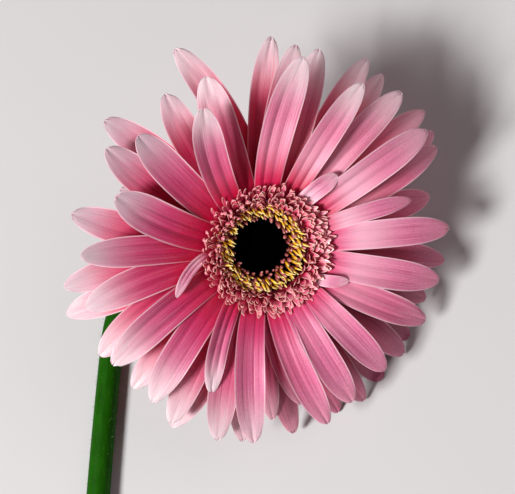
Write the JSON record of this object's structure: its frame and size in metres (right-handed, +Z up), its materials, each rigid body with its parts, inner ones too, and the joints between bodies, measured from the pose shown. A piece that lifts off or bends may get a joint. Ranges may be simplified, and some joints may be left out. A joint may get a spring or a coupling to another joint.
{
  "type": "cut daisy",
  "caption": "Cut pink gerbera daisy lying on its long green stem, with a bent neck and its face turned up.",
  "frame": {"origin": "on the surface the flower lies on, under the middle of its box", "axes": "+Z up from the surface, +Y along the stem from the cut end towards the head, +X to the right of the stem as seen from above with the head away"},
  "size_m": [0.1093, 0.35, 0.069],
  "materials": {
    "stem": "fresh green stem, softly glossy",
    "involucre": "fresh green bracts, slightly downy",
    "ray_florets": "soft satin petals, pale at the tips and crimson at the base",
    "trans_florets": "soft dusty pink petals with pale tips",
    "disc_florets": "golden anthers, dry and powdery",
    "disc_centre": "near-black closed buds"
  },
  "bodies": {
    "root": {"stem": "stem", "involucre": "involucre", "ray_florets": "ray_florets", "trans_florets": "trans_florets", "disc_florets": "disc_florets", "disc_centre": "disc_centre"}
  },
  "joints": []
}
